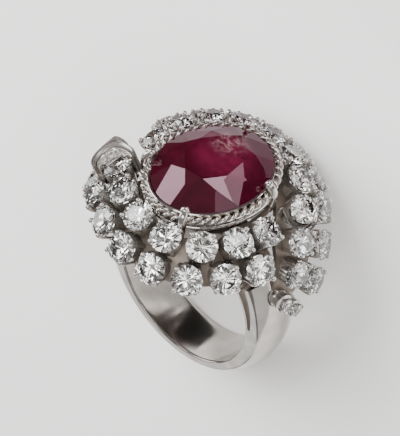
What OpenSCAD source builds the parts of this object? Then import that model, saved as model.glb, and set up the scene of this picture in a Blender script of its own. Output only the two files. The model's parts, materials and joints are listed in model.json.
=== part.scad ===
// A white gold cocktail ring. An oval ruby sits in a rope-edged basket, and two crescent arms of
// round diamonds curl round it. It is modelled upright, with the finger's axis along Y and the ruby
// on +Z, and is laid on its side at the end, as it rests on a table.

/* [Finger band] */
// Radius of the finger hole
finger_r = 8.6; // [8:0.1:9]
// Width of the band along the finger
band_w = 5.2; // [4.8:0.1:5.6]
// Thickness of the inner band
band_t = 0.7; // [0.6:0.05:0.8]

/* [Shank] */
// Radius of the shank's outer circle
shank_r = 11; // [10.8:0.1:11.2]
// Thickness of the shank's crown at the bottom
shank_t = 1.6; // [1.4:0.1:1.8]
// How far the shank's back is domed between its two edges
shank_dome = 0.8; // [0.6:0.05:0.9]
// Height at which the two shoulders end under the head
shoulder_top = 7; // [6.5:0.1:7.5]
// Width of the slit between band and shoulder at its open end
slit_w = 0.5; // [0.4:0.05:0.6]

/* [Ruby] */
// Length of the ruby along the finger
ruby_l = 13.5; // [13.2:0.1:13.6]
// Width of the ruby
ruby_w = 10.9; // [10.6:0.1:11]
// Height of the ruby's girdle above the finger's axis
ruby_z = 15.3; // [15.1:0.1:15.5]

/* [Diamonds] */
// Diameter of a main diamond
diamond_d = 3.1; // [3:0.05:3.15]
// Diameter of the small diamond that ends a row
end_d = 1.6; // [1.5:0.05:1.7]
// Distance from one diamond to the next in the inner row
inner_pitch = 3.7; // [3.65:0.01:3.75]
// Distance from one diamond to the next in the outer row
outer_pitch = 3.8; // [3.75:0.01:3.85]

/* [Hidden] */
DIAMONDS = 41;
function diamond_name(k) = str("diamond_", k < 10 ? "0" : "", k);
$fn = 48;

// The ring lies on its side, on two claws of the back arm and the shank's back edge, with the
// ruby towards -Y. The base's middle is the origin.
rest_angles = [-63.575, 2.32, 180];
rest_place = [0.15, 4.121, 6.526];
module at_rest() {
    translate(rest_place) rotate(rest_angles) children();
}

// The two lines that an arm's stones follow, from its start beside the ruby to its end on the
// shoulder: sweep round the ruby in degrees, clockwise from +X seen from above, reach from the
// ruby's axis, height above the finger's axis, lean of the stones away from straight up, and turn
// of that lean round the ruby's axis, away from straight outwards.
SWEEP = 0;
REACH = 1;
HEIGHT = 2;
LEAN = 3;
TURN = 4;
inner_line = [
    [3, 8.1, 13.4, 30, 0],
    [30, 8.6, 14, 30, 0],
    [60, 9.1, 14, 30, 0],
    [90, 9, 14.1, 30, 0],
    [120, 8.9, 14.2, 28, 0],
    [148, 9.4, 13.5, 28, -15],
    [165, 10.5, 11.2, 54, -20],
    [174, 11.4, 8, 66, -10],
    [185, 11.5, 3.9, 80, 0],
    [191, 11.2, 2.2, 88, 0],
];
outer_line = [
    [18, 10.7, 11.6, 58, 0],
    [40, 11.1, 11.7, 58, 0],
    [60, 11.5, 11.6, 58, 0],
    [90, 11.4, 11.6, 58, 0],
    [115, 11.2, 11.8, 58, 0],
    [138, 11.3, 11.4, 58, 0],
    [154, 12, 9.4, 72, 0],
    [164, 12.3, 6.3, 82, 0],
    [176, 11.7, 3.4, 90, 0],
    [182, 11.2, 1.8, 90, 0],
];

// Smooth curve through the rows of a table: step counts its rows from 0.
function row_at(table, k) = table[min(max(k, 0), len(table) - 1)];
function blended(a, b, c, d, t) =
    b + 0.5 * t * ((c - a) + t * ((2 * a - 5 * b + 4 * c - d) + t * (3 * (b - c) + d - a)));
function section(table, step) =
    let (k = min(floor(step), len(table) - 2))
    blended(row_at(table, k - 1), row_at(table, k), row_at(table, k + 1), row_at(table, k + 2), step - k);
function place_of(s) = [s[REACH] * cos(s[SWEEP]), -s[REACH] * sin(s[SWEEP]), s[HEIGHT]];
function spot(table, step) = place_of(section(table, step));
function unit(v) = v / norm(v);

// Length of a row up to a step, and the step at a length, from short straight pieces.
piece_step = 0.1;
function run_to(table, k) =
    k == 0 ? 0 : run_to(table, k - 1) + norm(spot(table, k * piece_step) - spot(table, (k - 1) * piece_step));
function measured(table) =
    [for (k = [0:(len(table) - 1) / piece_step]) [run_to(table, k), k * piece_step]];
inner_run = measured(inner_line);
outer_run = measured(outer_line);

// Frame of a stone on a row: along the row, across it, out of its table, and its centre.
tiny = 0.01;
function frame_at(table, run, length) =
    let (
        step = lookup(length, run),
        s = section(table, step),
        along = unit(spot(table, step + tiny) - spot(table, step - tiny)),
        faced = s[TURN] - s[SWEEP],
        lean = [cos(faced) * sin(s[LEAN]), sin(faced) * sin(s[LEAN]), cos(s[LEAN])],
        out = unit(lean - (lean * along) * along)
    )
    [along, cross(out, along), out, place_of(s)];
module at_frame(f) {
    multmatrix([for (i = [0:2]) [f[0][i], f[1][i], f[2][i], f[3][i]]]) children();
}

// The four rows of stones: half turn of their arm, line, distance of the first stone from the
// line's start, distance from stone to stone, number of main stones and their diameter. A small
// stone ends each row. The back arm's inner row has one stone more and slightly smaller ones.
ARM = 0;
LINE = 1;
START = 2;
PITCH = 3;
MAINS = 4;
STONE_D = 5;
INNER = 0;
OUTER = 1;
lines = [inner_line, outer_line];
runs = [inner_run, outer_run];
rows = [
    [0, INNER, 0, inner_pitch, 9, diamond_d],
    [0, OUTER, 0, outer_pitch, 9, diamond_d],
    [180, INNER, 0, 0.9 * inner_pitch, 10, 0.95 * diamond_d],
    [180, OUTER, 0.9, outer_pitch, 9, diamond_d],
];
end_pitch = 3.5; // from the last main stone to the small one

// Every stone of a row, as [half turn, frame, diameter], and all stones in one list.
function stone_run(row, k) =
    row[START] + (k < row[MAINS] ? k * row[PITCH] : (row[MAINS] - 1) * row[PITCH] + end_pitch);
function stones_of(row) =
    [for (k = [0:row[MAINS]])
        [row[ARM], frame_at(lines[row[LINE]], runs[row[LINE]], stone_run(row, k)),
            k < row[MAINS] ? row[STONE_D] : end_d]];
stones = [for (row = rows) each stones_of(row)];
HALF_TURN = 0;
FRAME = 1;
DIAMETER = 2;

// Diamonds
girdle_share = 0.03; // girdle, crown and pavilion as shares of the diameter
crown_share = 0.15;
pavilion_share = 0.42;
table_share = 0.57;
SIDES = 16;

// A cut stone: an eight-sided table, a sixteen-sided girdle and a point below.
module cut_stone(length, width, girdle, crown, pavilion, table) {
    rim = [for (i = [0:SIDES - 1]) [cos(i * 360 / SIDES) * width / 2, sin(i * 360 / SIDES) * length / 2]];
    top = [for (i = [0:2:SIDES - 1]) [rim[i].x * table, rim[i].y * table, girdle / 2 + crown]];
    upper = [for (p = rim) [p.x, p.y, girdle / 2]];
    lower = [for (p = rim) [p.x, p.y, -girdle / 2]];
    point = [[0, 0, -girdle / 2 - pavilion]];
    half = SIDES / 2;
    first_upper = half;
    first_lower = half + SIDES;
    culet = half + 2 * SIDES;
    function wrap(i) = i % SIDES;
    faces = concat(
        [[for (i = [half - 1:-1:0]) i]],
        [for (i = [0:half - 1], s = [-1, 1]) s > 0
            ? [i, first_upper + wrap(2 * i + 1), first_upper + 2 * i]
            : [i, first_upper + 2 * i, first_upper + wrap(2 * i + SIDES - 1)]],
        [for (i = [0:half - 1]) [i, (i + 1) % half, first_upper + wrap(2 * i + 1)]],
        [for (i = [0:SIDES - 1]) [first_upper + i, first_upper + wrap(i + 1), first_lower + wrap(i + 1), first_lower + i]],
        [for (i = [0:SIDES - 1]) [culet, first_lower + i, first_lower + wrap(i + 1)]]
    );
    polyhedron(concat(top, upper, lower, point), faces);
}

module diamond(d) {
    cut_stone(d, d, d * girdle_share, d * crown_share, d * pavilion_share, table_share);
}

module arm_diamond(k) {
    stone = stones[k - 1];
    color("gainsboro") at_rest() rotate([0, 0, stone[HALF_TURN]]) at_frame(stone[FRAME]) diamond(stone[DIAMETER]);
}

// Ruby
ruby_girdle = 0.3;
ruby_crown = 1.7;
ruby_pavilion = 4.4;
ruby_table = 0.6;

module ruby() {
    color("crimson") at_rest() translate([0, 0, ruby_z])
        cut_stone(ruby_l, ruby_w, ruby_girdle, ruby_crown, ruby_pavilion, ruby_table);
}

// A closed tube of flat facets through rings of points, all rings of the same length. Faces run
// round each ring; a loop joins its last ring to its first, and a run ends in two caps.
module loft(rings, closed) {
    n = len(rings);
    m = len(rings[0]);
    steps = closed ? n : n - 1;
    sides = [for (i = [0:steps - 1], j = [0:m - 1], half = [0, 1])
        let (
            next = (i + 1) % n,
            a = i * m + j,
            b = i * m + (j + 1) % m,
            c = next * m + (j + 1) % m,
            d = next * m + j
        )
        half == 0 ? [a, b, c] : [a, c, d]];
    caps = closed ? [] : [[for (j = [m - 1:-1:0]) j], [for (j = [0:m - 1]) (n - 1) * m + j]];
    polyhedron([for (ring = rings) each ring], concat(sides, caps));
}

// Basket round the ruby
stone_gap = 0.08; // clearance between a stone and its metal
rail_t = 0.35; // seat rail: thickness and height
rail_h = 1;
rope_r = 0.36; // twisted rope wire: half its width, half its thickness and its place
rope_flat = 0.22;
rope_drop = 0.35;
rope_twists = 20;
rope_rings_a_twist = 6;
wire_r = 0.32; // plain wire below the rope
wire_drop = 1.15;
OVAL_RINGS = 40;
WIRE_SIDES = 6;
ROPE_SIDES = 4;
TUBE_SIDES = 8;

// A point beside the ruby: angle round it, distance outside its girdle and height above it.
function beside_ruby(angle, outside, up) =
    [cos(angle) * (ruby_w / 2 + outside), sin(angle) * (ruby_l / 2 + outside), ruby_z + up];

// The rail's facets lie half a step away from those of the wires, so that no two edges meet
// along their length.
module seat_rail() {
    inside = stone_gap;
    outside = stone_gap + rail_t;
    loft([for (i = [0:OVAL_RINGS - 1]) let (a = (i + 0.5) * 360 / OVAL_RINGS) [
        beside_ruby(a, inside, 0),
        beside_ruby(a, inside, -rail_h),
        beside_ruby(a, outside, -rail_h),
        beside_ruby(a, outside, 0),
    ]], true);
}

module oval_wire(outside, drop, wide, flat, rings, twists, sides) {
    loft([for (i = [0:rings - 1]) let (a = i * 360 / rings, turn = twists * a)
        [for (j = [0:sides - 1]) let (
            b = j * 360 / sides,
            x = wide * cos(b),
            y = flat * sin(b)
        ) beside_ruby(a, outside + x * cos(turn) - y * sin(turn), -drop + x * sin(turn) + y * cos(turn))]],
        true);
}

rail_edge = stone_gap + rail_t;
rope_out = rail_edge + 0.8 * rope_r;
module rope() {
    oval_wire(rope_out, rope_drop, rope_r, rope_flat, rope_twists * rope_rings_a_twist, rope_twists, ROPE_SIDES);
}
module plain_wire() {
    oval_wire(rope_out, wire_drop, wire_r, wire_r, OVAL_RINGS, 0, WIRE_SIDES);
}

// The four claws stand outside the rope and carry a bead over the ruby's edge.
claw_angles = [31, 104.5, 211, 284.5];
claw_r = 0.42;
claw_bead_r = 0.45;
claw_out = rope_out + 0.2;
claw_foot_r = 6;
claw_foot_z = 12;
bead_up = 0.75;
module ruby_claw(angle) {
    foot = [cos(angle) * claw_foot_r, sin(angle) * claw_foot_r, claw_foot_z];
    neck = beside_ruby(angle, claw_out, -rope_drop);
    bead = beside_ruby(angle, claw_bead_r - 0.1, bead_up);
    rod(foot, neck, claw_r, $fn = TUBE_SIDES);
    rod(neck, bead, claw_r * 0.9, $fn = TUBE_SIDES);
    translate(bead) sphere(r = claw_bead_r, $fn = TUBE_SIDES);
}

// A round rod from one point to another.
module rod(from, to, r) {
    v = to - from;
    translate(from) rotate([0, acos(v.z / norm(v)), atan2(v.y, v.x)]) cylinder(h = norm(v), r = r);
}

// Collets: a tube with a light hole under each diamond, and four small claws over its edge.
collet_drop = 0.4; // from the girdle down to the tube's rim
collet_depth = 2.3; // from the girdle down to the tube's foot
seat_share = 0.86; // the conical seat's width at the rim as a share of the tube's
collet_shrink = 0.05; // how far inside the diamond's edge the tube's wall is
prong_w = 0.45; // width and thickness of a small claw, and how high it rises over the girdle
prong_t = 0.36;
prong_up = 0.55;

module prong(d) {
    wall = (d / 2 - collet_shrink) * cos(180 / TUBE_SIDES);
    edge = d / 2 + stone_gap;
    across_finger() linear_extrude(prong_w, center = true) polygon([
        [wall - prong_t / 2, -collet_drop - d / 3],
        [edge + prong_t, -collet_drop / 2],
        [edge + prong_t * 0.8, prong_up * 0.6],
        [edge - prong_t * 0.4, prong_up],
        [edge + prong_t * 0.1, -collet_drop / 2],
        [wall - prong_t / 2, -collet_drop * 1.4],
    ]);
}
module collet(d) {
    r = d / 2 - collet_shrink;
    difference() {
        union() {
            translate([0, 0, -collet_depth]) rotate(180 / TUBE_SIDES)
                cylinder(h = collet_depth - collet_drop, r = r, $fn = TUBE_SIDES);
            for (a = [45:90:315]) rotate(a) prong(d);
        }
        translate([0, 0, -collet_drop - d / 2]) rotate(180 / TUBE_SIDES)
            cylinder(h = d / 2 + tiny, r1 = 0, r2 = r * seat_share, $fn = TUBE_SIDES);
    }
}
module collets() {
    for (stone = stones) rotate([0, 0, stone[HALF_TURN]]) at_frame(stone[FRAME]) collet(stone[DIAMETER]);
}

// The arch that ends the crest of an arm, round the far side of its last stone up there.
CREST_STONES = [7, 28];
crest_gap = 0.25;
crest_t = 0.45;
crest_top = -0.15;
crest_foot = -1.9;
CREST_SIDES = 12;
module crest_edges() {
    for (k = CREST_STONES) {
        stone = stones[k - 1];
        r = stone[DIAMETER] / 2 + crest_gap;
        rotate([0, 0, stone[HALF_TURN]]) at_frame(stone[FRAME]) intersection() {
            difference() {
                translate([0, 0, crest_foot]) cylinder(h = crest_top - crest_foot, r = r + crest_t, $fn = CREST_SIDES);
                translate([0, 0, crest_foot - 1]) cylinder(h = crest_top - crest_foot + 2, r = r, $fn = CREST_SIDES);
            }
            translate([prong_w / 2, -2 * r, crest_foot]) cube([2 * r, 4 * r, crest_top - crest_foot]);
        }
    }
}

// The plate of an arm lies under its two rows and joins their collets.
plate_t = 0.8;
plate_drop = 1.7;
plate_over = 1.3; // how far the plate reaches past the rows' centre lines
PLATE_RINGS = 16;
function beside(f, across, up) = f[3] + across * f[1] + up * f[2];
function plate_ring(share) =
    let (
        inner = frame_at(inner_line, inner_run, share * inner_run[len(inner_run) - 1][0]),
        outer = frame_at(outer_line, outer_run, share * outer_run[len(outer_run) - 1][0]),
        low = plate_drop + plate_t
    )
    [
        beside(inner, -plate_over, -plate_drop),
        (beside(inner, 0, -plate_drop) + beside(outer, 0, -plate_drop)) / 2,
        beside(outer, plate_over, -plate_drop),
        beside(outer, plate_over, -low),
        (beside(inner, 0, -low) + beside(outer, 0, -low)) / 2,
        beside(inner, -plate_over, -low),
    ];
module arm_plate() {
    loft([for (i = [0:PLATE_RINGS]) plate_ring(i / PLATE_RINGS)], false);
}

// Shank, band and gallery
shank_up = shank_r - finger_r - shank_t; // height of the shank's outer circle over the finger's axis
dome_r = (pow(band_w / 2, 2) + pow(shank_dome, 2)) / (2 * shank_dome);
module across_finger() {
    rotate([90, 0, 0]) children();
}
module band() {
    across_finger() cylinder(h = band_w, r = finger_r + band_t, center = true);
}
module shank() {
    intersection() {
        translate([0, 0, shank_up]) across_finger() rotate_extrude() intersection() {
            translate([0, -band_w / 2]) square([shank_r + 1, band_w]);
            union() {
                translate([shank_r - dome_r, 0]) circle(r = dome_r);
                translate([0, -band_w / 2]) square([shank_r - shank_dome, band_w]);
            }
        }
        translate([-2 * shank_r, -band_w, -2 * shank_r]) cube([4 * shank_r, 2 * band_w, 2 * shank_r + shoulder_top]);
    }
}
// A slit parts band and shoulder at the front on the right, and at the back on the left. It is
// what a second circle like the band's, moved up, leaves open beside the band.
slit_from = 8; // degrees above the finger's axis at which the slit starts
slit_to = 35; // where it has its full width
module slits() {
    shift = slit_w / sin(slit_to - slit_from);
    for (turn = [0, 180]) rotate([0, 0, turn]) intersection() {
        translate([shift * cos(90 + slit_from), 0, shift * sin(90 + slit_from)])
            across_finger() cylinder(h = 2 * band_w, r = finger_r + band_t, center = true);
        translate([0, -2 * band_w, -shank_r]) cube([2 * shank_r, 2 * band_w, 2 * shank_r]);
    }
}
module finger_hole() {
    across_finger() cylinder(h = 4 * band_w, r = finger_r, center = true);
}

gallery_foot = 5;
gallery_top = 13.4;
gallery_r = 5;
gallery_flare = 1.6;
gallery_t = 1;
GALLERY_SIDES = 24;
module gallery() {
    difference() {
        translate([0, 0, gallery_foot]) cylinder(h = gallery_top - gallery_foot, r1 = gallery_r, r2 = gallery_r + gallery_flare, $fn = GALLERY_SIDES);
        translate([0, 0, gallery_foot - 0.5])
            cylinder(h = gallery_top - gallery_foot + 1, r1 = gallery_r - gallery_t, r2 = gallery_r + gallery_flare - gallery_t, $fn = GALLERY_SIDES);
    }
}
finger_room = finger_r + band_t / 2; // the head stays this far from the finger's axis
// Every diamond has room round it, which trims a neighbour's claw or edge that would touch it.
room_gap = 0.04;
module stone_rooms() {
    for (stone = stones) rotate([0, 0, stone[HALF_TURN]]) at_frame(stone[FRAME]) diamond(stone[DIAMETER] + 2 * room_gap);
}
module head() {
    resize([0, 0, 0]) difference() {
        union() {
            gallery();
            for (turn = [0, 180]) rotate([0, 0, turn]) arm_plate();
            collets();
            crest_edges();
            seat_rail();
            rope();
            plain_wire();
            for (a = claw_angles) ruby_claw(a);
        }
        across_finger() cylinder(h = 6 * band_w, r = finger_room, $fn = 2 * GALLERY_SIDES, center = true);
        stone_rooms();
    }
}

module setting() {
    color("silver") at_rest() {
        difference() {
            union() {
                band();
                difference() {
                    shank();
                    slits();
                }
            }
            finger_hole();
        }
        head();
    }
}

setting();
ruby();
for (k = [1:DIAMONDS]) arm_diamond(k);
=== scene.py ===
"""A white gold cocktail ring: an oval ruby between two curling arms of round diamonds."""
import json
from math import atan2, cos, degrees, pi, radians, sin, sqrt

import bmesh
import bpy
import numpy as np
from mathutils import Matrix, Vector


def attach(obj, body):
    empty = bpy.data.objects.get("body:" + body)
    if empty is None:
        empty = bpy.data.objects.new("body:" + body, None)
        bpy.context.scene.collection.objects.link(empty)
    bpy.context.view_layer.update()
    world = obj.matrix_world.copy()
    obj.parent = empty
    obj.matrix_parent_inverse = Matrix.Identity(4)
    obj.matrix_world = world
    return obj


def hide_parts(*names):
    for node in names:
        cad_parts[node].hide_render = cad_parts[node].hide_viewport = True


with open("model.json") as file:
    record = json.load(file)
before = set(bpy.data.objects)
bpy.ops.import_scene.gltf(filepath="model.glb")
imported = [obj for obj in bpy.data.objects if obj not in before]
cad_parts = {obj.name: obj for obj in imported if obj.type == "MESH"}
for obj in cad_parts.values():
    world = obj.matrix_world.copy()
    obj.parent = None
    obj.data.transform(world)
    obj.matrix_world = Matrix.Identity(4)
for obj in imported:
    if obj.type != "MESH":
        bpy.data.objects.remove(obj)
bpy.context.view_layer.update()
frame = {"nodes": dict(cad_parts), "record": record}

# Studio. The ring is drawn upright in millimetres, with the finger's axis along Y and the ruby on
# +Z, and one matrix lays each finished mesh down as the ring lies. It lies on a pale table under
# soft lights, among dark cards that show only where its metal and its stones mirror them.
MM = 0.001
finger_bore = next(mount for mount in frame["record"]["mounts"] if mount["name"] == "finger_bore")


def corners_of(node):
    """The different corner points of a CAD node, in metres."""
    return np.unique(np.round([v.co for v in frame["nodes"][node].data.vertices], 7), axis=0)


finger_axis = -Vector(finger_bore["axis"]).normalized()
hoop_centre = Vector(finger_bore["pos_m"])
ring_up = Vector(corners_of("ruby").mean(axis=0)) - hoop_centre
ring_up = (ring_up - ring_up.dot(finger_axis) * finger_axis).normalized()
ring_right = finger_axis.cross(ring_up)
laid = Matrix((ring_right, finger_axis, ring_up)).transposed().to_4x4()
laid.translation = hoop_centre
laid = laid @ Matrix.Scale(MM, 4)


def new_object(name, data):
    """A new object in the scene."""
    thing = bpy.data.objects.new(name, data)
    bpy.context.collection.objects.link(thing)
    return thing


def stand(thing, spot, x_axis, z_axis):
    """Stands a light or the camera at an upright spot, with its own X and Z axes along these."""
    y_axis = z_axis.cross(x_axis)
    turned = Matrix((x_axis, y_axis, z_axis)).transposed().to_4x4()
    turned.translation = spot
    thing.matrix_world = (laid @ turned).normalized()
    thing.matrix_world.translation = laid @ spot


VIEW_TURN = radians(39.2)
VIEW_HEIGHT = radians(46.5)
VIEW_ROLL = radians(6.35)
EYE_AWAY = 300
AIM_UP = 5.86
LENS = 245
to_eye = Vector((sin(VIEW_TURN) * cos(VIEW_HEIGHT), -cos(VIEW_TURN) * cos(VIEW_HEIGHT),
                 sin(VIEW_HEIGHT)))
level = Vector((cos(VIEW_TURN), sin(VIEW_TURN), 0))
rise = to_eye.cross(level)
picture_right = level * cos(VIEW_ROLL) + rise * sin(VIEW_ROLL)
picture_up = to_eye.cross(picture_right)
camera = new_object("camera", bpy.data.cameras.new("camera"))
camera.data.lens = LENS
camera.data.clip_start = 0.01
stand(camera, picture_up * AIM_UP + to_eye * EYE_AWAY, picture_right, to_eye)
bpy.context.scene.camera = camera

TABLE_R = 0.09
TABLE_SIDES = 96
table_grey = (0.72, 0.71, 0.70)


def feed(socket, value):
    """Links another node's output to an input, or gives the input its own value."""
    if isinstance(value, bpy.types.NodeSocket):
        socket.id_data.links.new(value, socket)
    else:
        socket.default_value = (*value, 1) if socket.type == "RGBA" else value


def with_values(node, **values):
    """Feeds a node's inputs by their names, where _ stands for a space."""
    for label, value in values.items():
        feed(node.inputs[label.replace("_", " ")], value)
    return node


def new_node(tree, kind, **values):
    """A node of that kind, with these values or outputs on its inputs."""
    return with_values(tree.nodes.new(kind), **values)


def new_material(name, **values):
    """A material with these values on its shader's own sockets."""
    material = bpy.data.materials.new(name)
    material.use_nodes = True
    with_values(material.node_tree.nodes["Principled BSDF"], **values)
    return material


shape = bmesh.new()
bmesh.ops.create_circle(shape, cap_ends=True, segments=TABLE_SIDES, radius=TABLE_R)
mesh = bpy.data.meshes.new("table")
shape.to_mesh(mesh)
shape.free()
table = new_object("table", mesh)
mesh.materials.append(new_material("Table paint", Base_Color=table_grey, Roughness=0.7))

ROOM_GLOW = 0.8
MIRRORED_GLOW = 0.25
GLOW_IN_STONES = 0.55
room_white = (1.0, 0.99, 0.975)
world = bpy.data.worlds.new("Studio")
world.use_nodes = True
studio = world.node_tree
ray = studio.nodes.new("ShaderNodeLightPath").outputs
mirrored_room = new_node(studio, "ShaderNodeMix", Factor=ray["Is Glossy Ray"], A=ROOM_GLOW,
                         B=MIRRORED_GLOW)
room_in_stones = new_node(studio, "ShaderNodeMix", Factor=ray["Is Transmission Ray"],
                          A=mirrored_room.outputs["Result"], B=GLOW_IN_STONES)
with_values(studio.nodes["Background"], Color=room_white, Strength=room_in_stones.outputs["Result"])
bpy.context.scene.world = world
LIGHTS_AIM = Vector((0, 0, 12))


def softbox(name, spot, wide, high, glow, behind=None, mirrored=True, in_stones_only=False,
            tint=(1, 1, 1)):
    """A soft light at an upright spot, aimed at the ruby or away from the direction behind it."""
    light = bpy.data.lights.new(name, "AREA")
    light.shape = "RECTANGLE"
    light.size = wide * MM
    light.size_y = high * MM
    light.energy = glow * pi * wide * high * MM * MM
    light.color = tint
    lamp = new_object(name, light)
    lamp.visible_camera = False
    lamp.visible_glossy = mirrored and not in_stones_only
    lamp.visible_diffuse = not in_stones_only
    back = (behind or Vector(spot) - LIGHTS_AIM).normalized()
    side = Vector((0, 0, 1)).cross(back) if abs(back.z) < 0.95 else Vector((1, 0, 0))
    side = (side - side.dot(back) * back).normalized()
    stand(lamp, Vector(spot), side, back)


def card(name, colour, corners, mirrored=True, through=True):
    """A card that shows only in metal and stones; its corners are in millimetres at the table."""
    mesh = bpy.data.meshes.new(name)
    mesh.from_pydata([Vector(corner) * MM for corner in corners], [], [range(len(corners))])
    mesh.materials.append(new_material(name, Base_Color=colour, Specular_IOR_Level=0))
    sheet = new_object(name, mesh)
    sheet.visible_camera = False
    sheet.visible_diffuse = False
    sheet.visible_shadow = False
    sheet.visible_glossy = mirrored
    sheet.visible_transmission = through


def table_way(way):
    """A direction given at the table, in upright axes."""
    return (laid.to_3x3().inverted() @ Vector(way)).normalized()


def on_table(spot):
    """A spot given in millimetres at the table, as an upright spot."""
    return laid.inverted() @ (Vector(spot) * MM)


def table_sheet(x0, x1, y0, y1, z):
    """The corners of a level sheet, in millimetres at the table."""
    return [(x0, y0, z), (x1, y0, z), (x1, y1, z), (x0, y1, z)]


def upright_sheet(x0, x1, y0, y1, z):
    """The corners of a level sheet over the upright ring, in millimetres at the table."""
    return [laid @ Vector(corner) / MM for corner in table_sheet(x0, x1, y0, y1, z)]


def screen(start, end, start_top, end_top):
    """The corners of a screen that stands on the table from one (x, y) to another."""
    return [(*start, 0), (*end, 0), (*end, end_top), (*start, start_top)]


def full_turn(steps):
    """The angles of that many even steps round a circle."""
    return [2 * pi * k / steps for k in range(steps)]


# Dark screens stand before the ring and beside it, with cards on the floor between them and it.
SCREEN_Y = -27
SCREEN_TOP = 16
SCREEN_CORNER = (13, SCREEN_Y)
FLOOR_MIDDLE_Y = -16.4
FLOOR_BACK_Y = -7.7
FLOOR_SIDE_X = 22
card("ceiling card", (0.13, 0.13, 0.13), upright_sheet(-222, 198, -89, 161, 190), through=False)
card("front screen", (0.085, 0.05, 0.06),
     screen((-30, SCREEN_Y), SCREEN_CORNER, SCREEN_TOP, SCREEN_TOP))
card("side screen", (0.07, 0.045, 0.05), screen(SCREEN_CORNER, (54, -8.7), SCREEN_TOP, 24))
card("floor card", (0.25, 0.22, 0.235), table_sheet(-13, 21, SCREEN_Y, FLOOR_MIDDLE_Y, 0.4))
card("star card", (0.05, 0.05, 0.05), table_sheet(6, 14, SCREEN_Y, -22, 0.5))
card("side floor card", (0.3, 0.27, 0.285),
     table_sheet(1, FLOOR_SIDE_X, FLOOR_MIDDLE_Y, FLOOR_BACK_Y, 0.3), through=False)
card("far floor card", (0.24, 0.225, 0.232), through=False,
     corners=[(FLOOR_SIDE_X, FLOOR_MIDDLE_Y, 0.3), (40, -14, 0.3), (40, -4, 0.3),
              (FLOOR_SIDE_X, FLOOR_BACK_Y, 0.3)])
card("left screen", (0.3, 0.3, 0.3), screen((-42, -23), (-42, 47), 28, 28))
# The dark cards in the finger hole are painted shade: they stand for the shaded table inside the hoop,
# as the band's inside mirrors it.
card("hole floor card", (0.02, 0.02, 0.02), [(2, -1, 0.2), (12.8, -1, 0.2), (2, 7.4, 0.2)])
card("hole screen", (0.02, 0.02, 0.02), [(2, -1, 0.1), (13, -1, 0.1), (8, -1, 2.4), (4.2, -1, 3.6)])

# Dark strips and small lights over the ring, seen through the stones alone, make them sparkle.
STRIPS = 7
STRIP_W = 15
STRIP_L = 180
STRIP_PITCH = 30
STRIP_Z = 70
for k in range(STRIPS):
    y = (k - STRIPS // 2) * STRIP_PITCH
    strip = upright_sheet(-STRIP_L / 2, STRIP_L / 2, y - STRIP_W / 2, y + STRIP_W / 2, STRIP_Z)
    card(f"stone card {k + 1}", (0.09, 0.085, 0.08), strip, mirrored=False)
STONE_LIGHTS = 6
STONE_LIGHTS_R = 90
STONE_LIGHTS_Z = 150
STONE_LIGHT_W = 34
STONE_LIGHT_GLOW = 44
glint_tints = [(0.75, 0.87, 1.0), (1.0, 0.9, 0.74), (1.0, 1.0, 1.0)]
for k, a in enumerate(full_turn(STONE_LIGHTS)):
    softbox(f"stone light {k + 1}",
            Vector((STONE_LIGHTS_R * cos(a), STONE_LIGHTS_R * sin(a), STONE_LIGHTS_Z)),
            STONE_LIGHT_W, STONE_LIGHT_W, STONE_LIGHT_GLOW, in_stones_only=True,
            tint=glint_tints[k % len(glint_tints)])

# Soft lights, each with its name, spot, width, height and glow.
softbox("left overhead softbox", (-128, -47, 165), 74, 66, 6.8, behind=Vector((0, 0, 1)))
softbox("middle overhead softbox", (12, 42, 165), 30, 30, 6.5, behind=Vector((0, 0, 1)))
softbox("right overhead softbox", (60, 80, 165), 70, 75, 4.0, behind=Vector((0, 0, 1)))
softbox("low softbox", on_table((-7.7, -26.8, 13.8)), 13.8, 8.4, 2.4, behind=table_way((0, -1, 0)))
softbox("low side softbox", on_table((-18.5, -26.8, 22)), 7, 8, 1.1, behind=table_way((0, -1, 0)))
softbox("camera side softbox", (60, -150, 130), 160, 60, 4.0)
softbox("left softbox", (-220, -60, 60), 200, 160, 3.0)
softbox("back softbox", (0, 220, 120), 240, 120, 3.0)
softbox("rim softbox", on_table((86, 177, 45)), 110, 80, 1.0, behind=table_way((0.43, 0.89, 0.17)))
softbox("edge softbox", on_table((-48, 190, 22)), 165, 44, 1.0,
        behind=table_way((-0.24, 0.965, 0.1)))
softbox("table light", on_table((150, -50, 140)), 260, 260, 6.0, mirrored=False)
softbox("table fill light", on_table((-190, -40, 110)), 200, 200, 3.0, mirrored=False)

# Band and shank. The ring that goes round the finger is cast in 18 carat white gold and polished:
# a thin inner band all the way round, and a domed shank that is soldered to it and splits away
# from it at the front on the right and at the back on the left.
BAND_R = 8.6
BAND_T = 0.7
BAND_W = 5.2
SHANK_R = 11.0
SHANK_T = 1.6
DOME = 0.8
SHOULDER_TOP = 7.0
EDGE_ROUND = 0.16
HOOP_STEP = 3
FLAT_SLICES = 16

# The slit opens over the band from this angle round the finger on, and is cut into the band too.
SLIT_FROM = 8
SLIT_OPENS = 1.5
SLIT_DEEP = 0.45
SLIT_IN_BAND = 0.35
SLIT_WALL_SLACK = 0.02
shank_rise = SHANK_R - BAND_R - SHANK_T
band_out = BAND_R + BAND_T
dome_r = ((BAND_W / 2) ** 2 + DOME ** 2) / (2 * DOME)


def add_piece(name, mesh, nodes=("setting",)):
    """Lays an upright mesh down and adds it as a piece that stands for these CAD nodes."""
    mesh.transform(laid)
    piece = new_object(name, mesh)
    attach(piece, "root")
    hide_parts(*nodes)
    return piece


def finished(shape, name, material, smooth=35):
    """Makes a mesh of a bmesh: outward faces, smooth where they meet at less than that angle."""
    bmesh.ops.remove_doubles(shape, verts=shape.verts, dist=1e-5)
    bmesh.ops.dissolve_degenerate(shape, edges=shape.edges, dist=1e-5)
    bmesh.ops.recalc_face_normals(shape, faces=shape.faces)
    mesh = bpy.data.meshes.new(name)
    shape.to_mesh(mesh)
    shape.free()
    mesh.polygons.foreach_set("use_smooth", [True] * len(mesh.polygons))
    mesh.set_sharp_from_angle(angle=radians(smooth))
    mesh.materials.append(material)
    return mesh


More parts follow.
